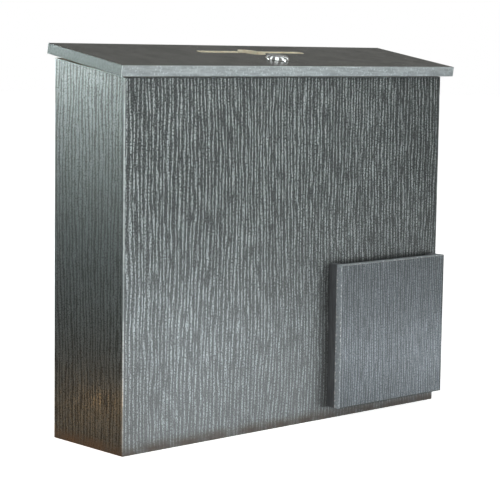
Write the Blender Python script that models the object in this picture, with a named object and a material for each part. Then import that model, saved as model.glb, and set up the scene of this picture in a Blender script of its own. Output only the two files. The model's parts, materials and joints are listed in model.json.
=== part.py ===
"""Donation box: a shallow board box with a sloped, locking lid and a leaflet pocket.

Metres, +Z up, +X to the right and +Y to the back, seen from the front. The origin is
the centre of the body's footprint, on the face that the box stands on.

The body is four mitred boards round an inset bottom. The lid is hinged behind the top
of the back board. It has a money slot with a round widening, and a cam lock whose cam
turns under a strike bracket inside the front board.
"""
import math

import bmesh
import bpy
from mathutils import Matrix, Vector

# ---------------------------------------------------------------- driving dimensions
GAP = 0.0003                 # between pieces that touch
BOARD = 0.009                # thickness of the body and lid boards

BODY_WIDTH = 0.382
BODY_DEPTH = 0.094
FRONT_HEIGHT = 0.310
BODY_SLOPE = math.radians(8.6)      # slope of the body's top edges, up to the back

LID_WIDTH = 0.400
LID_LENGTH = 0.1014                 # along its slope
LID_SLOPE = math.radians(9.74)
LID_SETBACK = 0.003                 # from the hinge axis to the lid's rear edge
BAND = 0.0008                       # thickness of the edge bands

SLOT_LENGTH = 0.127
SLOT_WIDTH = 0.008
SLOT_FROM_FRONT = 0.0675            # from the lid's front edge to the slot's centre line
WIDENING_RADIUS = 0.0125

POCKET_WIDTH = 0.139
POCKET_HEIGHT = 0.131
POCKET_DEPTH = 0.0093               # clear depth behind the pocket's front board
POCKET_BOARD = 0.0063
POCKET_STRIP = 0.009                # width of the strips between the pocket and the body
POCKET_FROM_RIGHT = 0.006
POCKET_FROM_BASE = 0.0115

HINGE_LENGTH = 0.040
HINGE_X = 0.120                     # each hinge's middle, from the lid's middle
LEAF_WIDTH = 0.0102                 # from the hinge axis to the leaf's free edge
LEAF_THICKNESS = 0.0009
KNUCKLE_RADIUS = 0.0016
PIN_RADIUS = 0.00075
RUNNING_GAP = 0.00006               # radial clearance of turning parts
HINGE_SCREW_X = 0.012               # from the hinge's middle
HINGE_SCREW_Y = -0.0062             # from the hinge axis

SCREW_HEAD_RADIUS = 0.0022
SCREW_SHANK_RADIUS = 0.0012
SCREW_CONE = 0.0009                 # height of the countersunk head
BODY_SCREW_LENGTH = 0.012
LID_SCREW_LENGTH = 0.007

BUMPER_RADIUS = 0.0035
BUMPER_THICKNESS = 0.0013
BUMPER_X = 0.150

LOCK_FROM_FRONT = 0.0335            # from the lid's front edge to the lock's axis
LOCK_HEAD_RADIUS = 0.0109
LOCK_HEAD_HEIGHT = 0.0034
LOCK_BARREL_RADIUS = 0.008
LOCK_BARREL_FLAT = 0.0069           # from the axis to the flats on the barrel's sides
LOCK_REACH = 0.011                  # how far the barrel reaches below the lid
PLUG_RADIUS = 0.0056
PLUG_FACE_RADIUS = 0.0066
NUT_ACROSS_FLATS = 0.020
NUT_THICKNESS = 0.0035
CAM_LENGTH = 0.016                  # from the lock's axis to the cam's tip
CAM_WIDTH = 0.012
CAM_THICKNESS = 0.0018
TAIL_SIDE = 0.006                   # the square tail of the plug, which drives the cam
CAM_SCREW_RADIUS = 0.002

STRIKE_WIDTH = 0.030
STRIKE_REACH = 0.0094               # from the front board to the strike's free edge
STRIKE_HEIGHT = 0.014
STRIKE_THICKNESS = 0.0015
STRIKE_TOP = 0.3053
STRIKE_SCREW_X = 0.009
STRIKE_SCREW_Z = 0.2965

ROUND = 32                          # segments round a small part
FINE_ROUND = 48                     # segments round the lock

# ---------------------------------------------------------------- derived places
HALF_WIDTH = BODY_WIDTH / 2
HALF_DEPTH = BODY_DEPTH / 2
LEAF_OFFSET = KNUCKLE_RADIUS + GAP  # from the hinge axis to the wood on either side
AXIS_Y = HALF_DEPTH + GAP + KNUCKLE_RADIUS
LID_UNDER = LEAF_OFFSET             # lid heights are counted from the hinge axis
LID_TOP = LID_UNDER + BOARD
LID_REAR = -LID_SETBACK
LID_FRONT = LID_REAR - LID_LENGTH
SLOT_Y = LID_FRONT + SLOT_FROM_FRONT
LOCK_Y = LID_FRONT + LOCK_FROM_FRONT


def body_top(y):
    """Height of the body's sloped top edge at a depth y."""
    return FRONT_HEIGHT + (y + HALF_DEPTH) * math.tan(BODY_SLOPE)


AXIS_Z = body_top(AXIS_Y) + LEAF_OFFSET / math.cos(BODY_SLOPE)


# ---------------------------------------------------------------- helpers
def clear_scene():
    for item in list(bpy.data.objects):
        bpy.data.objects.remove(item, do_unlink=True)


def make_material(name, colour, roughness, metallic=0.0):
    material = bpy.data.materials.new(name)
    material.use_nodes = True
    shader = material.node_tree.nodes["Principled BSDF"]
    shader.inputs["Base Color"].default_value = (*colour, 1.0)
    shader.inputs["Roughness"].default_value = roughness
    shader.inputs["Metallic"].default_value = metallic
    return material


def make_empty(name, location, tilt=0.0, parent=None):
    empty = bpy.data.objects.new(name, None)
    empty.location = location
    empty.rotation_euler = (tilt, 0.0, 0.0)
    empty.parent = parent
    bpy.context.collection.objects.link(empty)
    return empty


def make_object(name, mesh, material=None, parent=None, location=(0, 0, 0), rotation=(0, 0, 0)):
    """Link a mesh as a named object with its own copy of the material."""
    item = bpy.data.objects.new(name, mesh)
    item.location = location
    item.rotation_euler = rotation
    item.parent = parent
    bpy.context.collection.objects.link(item)
    if material:
        own = material.copy()
        own.name = name
        mesh.materials.clear()
        mesh.materials.append(own)
    return item


def finish_mesh(shape, name, smooth_angle=None):
    bmesh.ops.recalc_face_normals(shape, faces=shape.faces)
    mesh = bpy.data.meshes.new(name)
    shape.to_mesh(mesh)
    shape.free()
    if smooth_angle:
        mesh.shade_smooth()
        mesh.set_sharp_from_angle(angle=smooth_angle)
    return mesh


def block_mesh(name, low, high):
    low, high = Vector(low), Vector(high)
    shape = bmesh.new()
    place = Matrix.Translation((low + high) / 2) @ Matrix.Diagonal((*(high - low), 1.0))
    bmesh.ops.create_cube(shape, size=1.0, matrix=place)
    return finish_mesh(shape, name)


def extruded_mesh(name, outline, low, high, axis="Z"):
    """Extrude an outline along Z, or along X for an outline given as (y, z)."""
    if axis == "Z":
        points = [(a, b, low) for a, b in outline]
        travel = Vector((0, 0, high - low))
    else:
        points = [(low, a, b) for a, b in outline]
        travel = Vector((high - low, 0, 0))
    shape = bmesh.new()
    face = shape.faces.new([shape.verts.new(point) for point in points])
    result = bmesh.ops.extrude_face_region(shape, geom=[face])
    moved = [item for item in result["geom"] if isinstance(item, bmesh.types.BMVert)]
    bmesh.ops.translate(shape, verts=moved, vec=travel)
    return finish_mesh(shape, name, smooth_angle=math.radians(30))


def turned_mesh(name, profile, segments=ROUND):
    """Spin a profile of (radius, height) points, from axis to axis or a closed ring."""
    shape = bmesh.new()
    verts = [shape.verts.new((radius, 0, height)) for radius, height in profile]
    edges = [shape.edges.new(pair) for pair in zip(verts, verts[1:])]
    if profile[0][0] > 0:
        edges.append(shape.edges.new((verts[-1], verts[0])))
    bmesh.ops.spin(shape, geom=verts + edges, axis=(0, 0, 1), cent=(0, 0, 0), dvec=(0, 0, 0),
                   angle=math.tau, steps=segments, use_merge=True)
    bmesh.ops.remove_doubles(shape, verts=shape.verts, dist=0.000001)
    return finish_mesh(shape, name, smooth_angle=math.radians(30))


def arc(centre, radius, start, end, steps):
    """Points on an arc, from the start angle to the end angle in degrees."""
    angles = [math.radians(start + (end - start) * step / steps) for step in range(steps + 1)]
    return [(centre[0] + radius * math.cos(a), centre[1] + radius * math.sin(a)) for a in angles]


def combine(target, mesh, operation, location=(0, 0, 0), rotation=(0, 0, 0)):
    """Cut a mesh out of the target, or join it to the target, with a Boolean."""
    tool = make_object("tool_" + mesh.name, mesh, None, target.parent, location, rotation)
    tool.hide_render = True
    tool.display_type = "WIRE"
    modifier = target.modifiers.new(operation.lower(), "BOOLEAN")
    modifier.operation = operation
    modifier.solver = "EXACT"
    modifier.object = tool
    return tool


def applied_mesh(item, name):
    """The mesh that an object has after its modifiers; the object itself is removed."""
    bpy.context.view_layer.update()
    evaluated = item.evaluated_get(bpy.context.evaluated_depsgraph_get())
    mesh = bpy.data.meshes.new_from_object(evaluated)
    mesh.name = name
    for modifier in item.modifiers:
        bpy.data.objects.remove(modifier.object, do_unlink=True)
    bpy.data.objects.remove(item, do_unlink=True)
    return mesh


# ---------------------------------------------------------------- fasteners
def screw_mesh(name, length):
    """Countersunk wood screw, head up at z = 0, with a cross recess and a pointed tip."""
    tip = 0.002
    profile = [(0, 0), (SCREW_HEAD_RADIUS, 0), (SCREW_SHANK_RADIUS, -SCREW_CONE),
               (SCREW_SHANK_RADIUS, tip - length), (0, -length)]
    screw = make_object(name, turned_mesh(name, profile))
    arm, half, deep = 0.0013, 0.00028, 0.0007
    for low, high in (((-arm, -half, -deep), (arm, half, deep)),
                      ((-half, -arm, -deep), (half, arm, deep))):
        combine(screw, block_mesh("recess", low, high), "DIFFERENCE")
    return applied_mesh(screw, name)


def pilot_mesh(length):
    """Hole for a wood screw's shank in the board."""
    radius = SCREW_SHANK_RADIUS + GAP / 2
    return turned_mesh("pilot", [(0, 0.001), (radius, 0.001), (radius, -length - GAP), (0, -length - GAP)])


def countersink_mesh():
    """Hole for a screw's countersunk head in a plate; z = 0 is the plate's outer face."""
    spread = GAP / 2
    profile = [(0, 0.001), (SCREW_HEAD_RADIUS + spread, 0.001), (SCREW_HEAD_RADIUS + spread, 0),
               (SCREW_SHANK_RADIUS + spread, -SCREW_CONE), (SCREW_SHANK_RADIUS + spread, -0.004), (0, -0.004)]
    return turned_mesh("countersink", profile)


# ---------------------------------------------------------------- body
def make_wall(name, plan, material):
    """A board standing on the base with its plan outline, cut to the sloped top."""
    shape = bmesh.new()
    base = [shape.verts.new((x, y, 0)) for x, y in plan]
    top = [shape.verts.new((x, y, body_top(y))) for x, y in plan]
    shape.faces.new(base)
    shape.faces.new(top)
    for index in range(len(plan)):
        after = (index + 1) % len(plan)
        shape.faces.new((base[index], base[after], top[after], top[index]))
    return make_object(name, finish_mesh(shape, name), material)


def make_body(laminate):
    """Four walls mitred at 45 degrees, with half a gap taken off each mitre."""
    trim = GAP / 2 * math.sqrt(2)
    outer_x, outer_y = HALF_WIDTH - trim, HALF_DEPTH - trim
    inner_x, inner_y = outer_x - BOARD, outer_y - BOARD
    walls = {}
    for name, side in (("front_panel", -1), ("back_panel", 1)):
        face, inside = side * HALF_DEPTH, side * (HALF_DEPTH - BOARD)
        plan = [(-outer_x, face), (outer_x, face), (inner_x, inside), (-inner_x, inside)]
        walls[name] = make_wall(name, plan, laminate)
    for name, side in (("left_panel", -1), ("right_panel", 1)):
        face, inside = side * HALF_WIDTH, side * (HALF_WIDTH - BOARD)
        plan = [(face, -outer_y), (face, outer_y), (inside, inner_y), (inside, -inner_y)]
        walls[name] = make_wall(name, plan, laminate)
    reach_x, reach_y = HALF_WIDTH - BOARD - GAP, HALF_DEPTH - BOARD - GAP
    mesh = block_mesh("bottom_panel", (-reach_x, -reach_y, 0), (reach_x, reach_y, BOARD))
    make_object("bottom_panel", mesh, laminate)
    return walls


def make_pocket(laminate, painted, banding):
    """Leaflet pocket: a front board on three strips, open at the top."""
    right = HALF_WIDTH - POCKET_FROM_RIGHT
    left = right - POCKET_WIDTH
    low, high = POCKET_FROM_BASE, POCKET_FROM_BASE + POCKET_HEIGHT
    back = -HALF_DEPTH - GAP
    front = -HALF_DEPTH - POCKET_DEPTH + GAP
    strips = {
        "pocket_left_strip": ((left, front, low), (left + POCKET_STRIP, back, high)),
        "pocket_right_strip": ((right - POCKET_STRIP, front, low), (right, back, high)),
        "pocket_bottom_strip": ((left + POCKET_STRIP + GAP, front, low),
                                (right - POCKET_STRIP - GAP, back, low + POCKET_STRIP)),
    }
    for name, (start, end) in strips.items():
        make_object(name, block_mesh(name, start, end), painted)
    near, far = -HALF_DEPTH - POCKET_DEPTH, -HALF_DEPTH - POCKET_DEPTH - POCKET_BOARD
    edge = BAND + GAP
    core = block_mesh("pocket_front", (left + edge, far, low + edge), (right - edge, near, high - edge))
    make_object("pocket_front", core, laminate)
    bands = {
        "pocket_band_left": ((left, far, low), (left + BAND, near, high)),
        "pocket_band_right": ((right - BAND, far, low), (right, near, high)),
        "pocket_band_bottom": ((left + edge, far, low), (right - edge, near, low + BAND)),
        "pocket_band_top": ((left + edge, far, high - BAND), (right - edge, near, high)),
    }
    for name, (start, end) in bands.items():
        make_object(name, block_mesh(name, start, end), banding)


def make_bumpers(rubber):
    """Two discs on the front wall's top edge that the closed lid rests on."""
    y = -HALF_DEPTH + BOARD / 2
    for name, x in (("bumper_left", -BUMPER_X), ("bumper_right", BUMPER_X)):
        rim = BUMPER_THICKNESS - 0.0003
        profile = [(0, 0), (BUMPER_RADIUS, 0), (BUMPER_RADIUS, rim),
                   (BUMPER_RADIUS - 0.0005, BUMPER_THICKNESS), (0, BUMPER_THICKNESS)]
        make_object(name, turned_mesh(name, profile), rubber, None,
                    (x, y, body_top(y) + GAP), (BODY_SLOPE, 0, 0))


# ---------------------------------------------------------------- lid
def slot_outline():
    """The money slot: round ends and a round widening in the middle."""
    half = SLOT_WIDTH / 2
    end = SLOT_LENGTH / 2 - half
    meet = math.degrees(math.asin(half / WIDENING_RADIUS))
    outline = arc((end, SLOT_Y), half, -90, 90, 12)
    outline += arc((0, SLOT_Y), WIDENING_RADIUS, meet, 180 - meet, 20)
    outline += arc((-end, SLOT_Y), half, 90, 270, 12)
    outline += arc((0, SLOT_Y), WIDENING_RADIUS, 180 + meet, 360 - meet, 20)
    return outline


def make_lid(pivot, laminate, banding):
    """The lid board in its four edge bands, with the slot and the lock's hole."""
    half, edge = LID_WIDTH / 2, BAND + GAP
    low, high = LID_UNDER, LID_TOP
    core = block_mesh("lid_panel", (edge - half, LID_FRONT + edge, low), (half - edge, LID_REAR - edge, high))
    lid = make_object("lid_panel", core, laminate, pivot)
    past = 0.002
    combine(lid, extruded_mesh("slot", slot_outline(), low - past, high + past), "DIFFERENCE")
    hole = arc((0, LOCK_Y), LOCK_BARREL_RADIUS + GAP, 0, 360, FINE_ROUND)[:-1]
    combine(lid, extruded_mesh("lock_hole", hole, low - past, high + past), "DIFFERENCE")
    bands = {
        "lid_band_front": ((-half, LID_FRONT, low), (half, LID_FRONT + BAND, high)),
        "lid_band_rear": ((-half, LID_REAR - BAND, low), (half, LID_REAR, high)),
        "lid_band_left": ((-half, LID_FRONT + edge, low), (BAND - half, LID_REAR - edge, high)),
        "lid_band_right": ((half - BAND, LID_FRONT + edge, low), (half, LID_REAR - edge, high)),
    }
    for name, (start, end) in bands.items():
        make_object(name, block_mesh(name, start, end), banding, pivot)
    return lid


# ---------------------------------------------------------------- hinges
def knuckle_outline(side):
    """A leaf with its rolled knuckle, as (y, z); side is -1 under the pin, 1 above it."""
    inner = KNUCKLE_RADIUS - LEAF_THICKNESS
    meet = math.degrees(math.asin(inner / KNUCKLE_RADIUS))
    roll = arc((0, 0), KNUCKLE_RADIUS, -90, 180 + meet, 24)
    outline = [(-LEAF_WIDTH, -KNUCKLE_RADIUS), *roll, (-LEAF_WIDTH, -inner)]
    return [(y, -side * z) for y, z in outline]


def make_leaf(name, side, knuckles, steel, pivot, x):
    """One hinge leaf: its plate, the knuckles between the given ends, and screw holes."""
    half = HINGE_LENGTH / 2
    outer, inner = side * KNUCKLE_RADIUS, side * (KNUCKLE_RADIUS - LEAF_THICKNESS)
    low, high = min(outer, inner), max(outer, inner)
    clear = -KNUCKLE_RADIUS - GAP
    plate = block_mesh(name, (-half, -LEAF_WIDTH, low), (half, clear, high))
    leaf = make_object(name, plate, steel, pivot, (x, 0, 0))
    for start, end in knuckles:
        mesh = extruded_mesh("knuckle", knuckle_outline(side), start, end, axis="X")
        combine(leaf, mesh, "UNION", (x, 0, 0))
    bore = PIN_RADIUS + RUNNING_GAP
    past = half + 0.001
    mesh = extruded_mesh("pin_bore", arc((0, 0), bore, 0, 360, ROUND)[:-1], -past, past, axis="X")
    combine(leaf, mesh, "DIFFERENCE", (x, 0, 0))
    for offset in (-HINGE_SCREW_X, HINGE_SCREW_X):
        combine(leaf, countersink_mesh(), "DIFFERENCE", (x + offset, HINGE_SCREW_Y, inner),
                (math.pi if side > 0 else 0, 0, 0))
    return leaf


def make_hinges(walls, lid, base_pivot, lid_pivot, steel):
    """Two butt hinges with their pins and screws, and the screws' holes in the boards."""
    half = HINGE_LENGTH / 2
    split = half / 2
    body_screw = screw_mesh("body_hinge_screw", BODY_SCREW_LENGTH)
    lid_screw = screw_mesh("lid_hinge_screw", LID_SCREW_LENGTH)
    inner = KNUCKLE_RADIUS - LEAF_THICKNESS
    for hand, x in (("left", -HINGE_X), ("right", HINGE_X)):
        make_leaf(f"hinge_{hand}_body_leaf", -1, [(-half, -split), (split, half)], steel, base_pivot, x)
        make_leaf(f"hinge_{hand}_lid_leaf", 1, [(GAP - split, split - GAP)], steel, lid_pivot, x)
        cap, rise = PIN_RADIUS + 0.0004, 0.0005
        reach = half + GAP
        profile = [(0, -reach - rise), (cap, -reach - rise), (cap, -reach), (PIN_RADIUS, -reach),
                   (PIN_RADIUS, reach), (cap, reach), (cap, reach + rise), (0, reach + rise)]
        name = f"hinge_{hand}_pin"
        make_object(name, turned_mesh(name, profile), steel, base_pivot, (x, 0, 0), (0, math.pi / 2, 0))
        for number, offset in enumerate((-HINGE_SCREW_X, HINGE_SCREW_X), start=1):
            place = (x + offset, HINGE_SCREW_Y, -inner)
            name = f"hinge_{hand}_body_screw_{number}"
            make_object(name, body_screw.copy(), steel, base_pivot, place)
            tool = combine(walls["back_panel"], pilot_mesh(BODY_SCREW_LENGTH), "DIFFERENCE", place)
            tool.parent = base_pivot
            place, flip = (x + offset, HINGE_SCREW_Y, inner), (math.pi, 0, 0)
            name = f"hinge_{hand}_lid_screw_{number}"
            make_object(name, lid_screw.copy(), steel, lid_pivot, place, flip)
            combine(lid, pilot_mesh(LID_SCREW_LENGTH), "DIFFERENCE", place, flip)


# ---------------------------------------------------------------- lock
def make_lock_housing(pivot, chrome):
    """Round head on the lid and a barrel with two flats that reaches below it."""
    bore = PLUG_RADIUS + RUNNING_GAP
    face_bore = PLUG_FACE_RADIUS + RUNNING_GAP
    seat, top = GAP, GAP + LOCK_HEAD_HEIGHT
    shoulder = top - 0.0012
    ease = 0.0008
    profile = [(bore, -BOARD - LOCK_REACH), (LOCK_BARREL_RADIUS, -BOARD - LOCK_REACH),
               (LOCK_BARREL_RADIUS, seat), (LOCK_HEAD_RADIUS, seat), (LOCK_HEAD_RADIUS, top - ease)]
    profile += arc((LOCK_HEAD_RADIUS - ease, top - ease), ease, 0, 90, 4)[1:]
    profile += [(face_bore, top), (face_bore, shoulder), (bore, shoulder)]
    housing = make_object("lock_housing", turned_mesh("lock_housing", profile, FINE_ROUND), chrome, pivot)
    for side in (-1, 1):
        near, far = sorted((side * LOCK_BARREL_FLAT, side * 2 * LOCK_BARREL_RADIUS))
        low = (near, -LOCK_HEAD_RADIUS, -BOARD - LOCK_REACH - 0.001)
        flat = block_mesh("barrel_flat", low, (far, LOCK_HEAD_RADIUS, -BOARD - NUT_THICKNESS - 0.002))
        combine(housing, flat, "DIFFERENCE")
    return housing


def make_lock_nut(pivot, steel):
    """Hexagon nut that clamps the lock to the lid from below."""
    hexagon = arc((0, 0), NUT_ACROSS_FLATS / math.sqrt(3), 0, 360, 6)[:-1]
    top = -BOARD - GAP
    nut = make_object("lock_nut", extruded_mesh("lock_nut", hexagon, top - NUT_THICKNESS, top), steel, pivot)
    bore = arc((0, 0), LOCK_BARREL_RADIUS + 0.0001, 0, 360, FINE_ROUND)[:-1]
    combine(nut, extruded_mesh("nut_bore", bore, top - 0.01, top + 0.001), "DIFFERENCE")
    return nut


def make_lock_plug(pivot, chrome):
    """Turning plug: a face with the keyway, a shaft, and a square tail for the cam."""
    face = GAP + LOCK_HEAD_HEIGHT + 0.0002
    shoulder = GAP + LOCK_HEAD_HEIGHT - 0.0012 + RUNNING_GAP
    end = -BOARD - LOCK_REACH - GAP
    ease = 0.0003
    profile = [(0, end), (PLUG_RADIUS, end), (PLUG_RADIUS, shoulder), (PLUG_FACE_RADIUS, shoulder),
               (PLUG_FACE_RADIUS, face - ease), (PLUG_FACE_RADIUS - ease, face), (0, face)]
    plug = make_object("lock_plug", turned_mesh("lock_plug", profile, FINE_ROUND), chrome, pivot)
    half = TAIL_SIDE / 2
    tail_end = end - GAP - CAM_THICKNESS
    combine(plug, block_mesh("tail", (-half, -half, tail_end), (half, half, end + 0.001)), "UNION")
    thread = CAM_SCREW_RADIUS + GAP / 2
    hole = arc((0, 0), thread, 0, 360, ROUND)[:-1]
    combine(plug, extruded_mesh("tail_hole", hole, tail_end - 0.001, tail_end + 0.008), "DIFFERENCE")
    keyway = [(-0.0036, -0.0006), (0.0036, -0.0006), (0.0036, 0.0003), (0.0014, 0.0003),
              (0.0014, 0.0009), (-0.0008, 0.0009), (-0.0008, 0.0003), (-0.0036, 0.0003)]
    combine(plug, extruded_mesh("keyway", keyway, face - 0.009, face + 0.001), "DIFFERENCE")
    return tail_end


def make_lock_cam(pivot, steel, tail_end):
    """Flat cam on the plug's tail, pointing to +X when the lock is open, and its screw."""
    half = CAM_WIDTH / 2
    tip = 0.003
    outline = arc((0, 0), half, 90, 270, 16)
    outline += arc((CAM_LENGTH - tip, tip - half), tip, -90, 0, 5)
    outline += arc((CAM_LENGTH - tip, half - tip), tip, 0, 90, 5)
    top = -BOARD - LOCK_REACH - 2 * GAP
    cam = make_object("lock_cam", extruded_mesh("lock_cam", outline, top - CAM_THICKNESS, top), steel, pivot)
    hole = TAIL_SIDE / 2 + 0.0001
    combine(cam, block_mesh("cam_hole", (-hole, -hole, top - 0.01), (hole, hole, top + 0.001)), "DIFFERENCE")

    washer_top = min(tail_end, top - CAM_THICKNESS) - GAP
    washer_low = washer_top - 0.0008
    bore = CAM_SCREW_RADIUS + GAP / 2
    ring = [(bore, washer_low), (0.0048, washer_low), (0.0048, washer_top), (bore, washer_top)]
    make_object("cam_washer", turned_mesh("cam_washer", ring), steel, pivot)

    head_top, head_height = washer_low - GAP, 0.0028
    shank = [(0, head_top - 0.001), (CAM_SCREW_RADIUS, head_top - 0.001),
             (CAM_SCREW_RADIUS, head_top + 0.008), (0, head_top + 0.008)]
    screw = make_object("cam_screw", turned_mesh("cam_screw", shank), steel, pivot)
    hexagon = arc((0, 0), 0.007 / math.sqrt(3), 0, 360, 6)[:-1]
    combine(screw, extruded_mesh("cam_screw_head", hexagon, head_top - head_height, head_top), "UNION")


def make_strike(walls, steel):
    """Angle bracket inside the front board; its top leaf stops the locked cam."""
    wall = -HALF_DEPTH + BOARD
    back = wall + GAP
    top, thick = STRIKE_TOP, STRIKE_THICKNESS
    outline = [(back, top), (back, top - STRIKE_HEIGHT), (back + thick, top - STRIKE_HEIGHT),
               (back + thick, top - thick), (wall + STRIKE_REACH, top - thick), (wall + STRIKE_REACH, top)]
    half = STRIKE_WIDTH / 2
    strike = make_object("strike_bracket", extruded_mesh("strike_bracket", outline, -half, half, axis="X"), steel)
    screw = screw_mesh("strike_screw", LID_SCREW_LENGTH)
    turn = (-math.pi / 2, 0, 0)
    for number, x in enumerate((-STRIKE_SCREW_X, STRIKE_SCREW_X), start=1):
        place = (x, back + thick, STRIKE_SCREW_Z)
        make_object(f"strike_screw_{number}", screw.copy(), steel, None, place, turn)
        combine(strike, countersink_mesh(), "DIFFERENCE", place, turn)
        combine(walls["front_panel"], pilot_mesh(LID_SCREW_LENGTH), "DIFFERENCE", place, turn)


# ---------------------------------------------------------------- assembly
def build():
    clear_scene()
    laminate = make_material("laminate", (0.11, 0.12, 0.12), 0.45)
    lid_laminate = make_material("lid_laminate", (0.10, 0.10, 0.09), 0.30)
    painted = make_material("painted_edge", (0.03, 0.03, 0.035), 0.60)
    banding = make_material("edge_band", (0.36, 0.40, 0.41), 0.40)
    chrome = make_material("chrome", (0.80, 0.80, 0.82), 0.08, 1.0)
    steel = make_material("zinc_steel", (0.58, 0.58, 0.56), 0.32, 1.0)
    rubber = make_material("bumper_felt", (0.05, 0.05, 0.05), 0.85)

    axis = (0, AXIS_Y, AXIS_Z)
    base_pivot = make_empty("hinge_base", axis, BODY_SLOPE)
    lid_pivot = make_empty("lid_pivot", axis, LID_SLOPE)
    lock_pivot = make_empty("lock_pivot", (0, LOCK_Y, LID_TOP), parent=lid_pivot)

    walls = make_body(laminate)
    make_pocket(laminate, painted, banding)
    make_bumpers(rubber)
    lid = make_lid(lid_pivot, lid_laminate, banding)
    make_hinges(walls, lid, base_pivot, lid_pivot, steel)
    make_lock_housing(lock_pivot, chrome)
    make_lock_nut(lock_pivot, steel)
    tail_end = make_lock_plug(lock_pivot, chrome)
    make_lock_cam(lock_pivot, steel, tail_end)
    make_strike(walls, steel)


build()
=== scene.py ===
"""Donation box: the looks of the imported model.

Every piece is made in metres where the CAD says, and rides on its CAD body. Lid pieces are
made in the lid's own frame, whose origin is the hinge axis and whose Y runs up the slope.
"""
import json
import math

import bmesh
import bpy
from mathutils import Matrix, Vector


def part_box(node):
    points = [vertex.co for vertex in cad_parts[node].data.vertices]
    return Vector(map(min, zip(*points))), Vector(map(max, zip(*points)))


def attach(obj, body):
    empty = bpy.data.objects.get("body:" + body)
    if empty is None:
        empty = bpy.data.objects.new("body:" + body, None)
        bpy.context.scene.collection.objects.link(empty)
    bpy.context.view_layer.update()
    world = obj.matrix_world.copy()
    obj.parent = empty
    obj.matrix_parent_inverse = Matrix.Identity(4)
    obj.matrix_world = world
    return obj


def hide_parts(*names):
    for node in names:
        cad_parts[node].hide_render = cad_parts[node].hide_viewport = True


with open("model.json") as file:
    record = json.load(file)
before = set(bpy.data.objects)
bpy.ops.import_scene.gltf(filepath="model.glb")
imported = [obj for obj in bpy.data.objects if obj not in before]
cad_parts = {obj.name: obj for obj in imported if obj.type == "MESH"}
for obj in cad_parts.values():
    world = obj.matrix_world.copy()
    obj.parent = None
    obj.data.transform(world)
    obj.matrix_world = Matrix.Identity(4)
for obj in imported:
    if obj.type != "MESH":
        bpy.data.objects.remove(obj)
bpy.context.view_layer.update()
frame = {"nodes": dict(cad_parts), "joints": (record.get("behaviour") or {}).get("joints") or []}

# ---------------------------------------------------------------- dimensions
BODY_SLOPE = math.radians(8.6)
LID_SLOPE = math.radians(9.74)
BOARD = 0.009
BAND = 0.0008
HAIRLINE = 0.00003           # between pieces that the eye sees as touching
CORNER = 0.0008              # radius of the body's upright corners
EASE = 0.0003                # eased edges of the boards
BAND_EASE = 0.0004           # eased edges of the edge bands
SHARP = math.radians(34)     # edges that turn by more than this stay sharp
EASED = math.radians(40)     # edges of CAD shapes that turn by more than this are eased
SAME = 1e-6                  # places nearer than this are the same

# How far glued parts reach into the CAD's narrow gaps.
FLOOR_FILL, POCKET_FILL, STRIP_FILL = 0.00025, 0.00028, 0.00027

SLOT_LENGTH, SLOT_WIDTH, WIDENING_RADIUS = 0.127, 0.008, 0.0125
LOCK_HOLE_RADIUS = 0.0083
SLOT_FROM_FRONT, LOCK_FROM_FRONT = 0.0675, 0.0335

body_low = Vector((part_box("left_panel")[0].x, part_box("front_panel")[0].y, 0.0))
body_high = Vector((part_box("right_panel")[1].x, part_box("back_panel")[1].y, 0.0))
FRONT_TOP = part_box("front_panel")[1].z - BOARD * math.tan(BODY_SLOPE)

joints = {joint["name"]: joint for joint in frame["joints"]}
hinge_axis = Vector(joints["lid_hinge"]["pos_m"])
lid_frame = Matrix.Translation(hinge_axis) @ Matrix.Rotation(LID_SLOPE, 4, "X")
lock_place = Vector(joints["lock_turn"]["pos_m"])
lock_frame = Matrix.Translation(lock_place) @ Matrix.Rotation(LID_SLOPE, 4, "X")

# In the lid's frame: its underside and top (Z), rear and front (Y) and half its width.
LID_UNDER = 0.0019
LID_TOP = LID_UNDER + BOARD
LID_REAR = -0.003
LID_DEPTH = 0.1014
LID_FRONT = LID_REAR - LID_DEPTH
LID_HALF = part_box("lid_band_front")[1].x
SLOT_Y = LID_FRONT + SLOT_FROM_FRONT
LOCK_Y = LID_FRONT + LOCK_FROM_FRONT


def body_top(y):
    """Height of the body's sloped upper edge at depth y."""
    return FRONT_TOP + (y - body_low.y) * math.tan(BODY_SLOPE)


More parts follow.
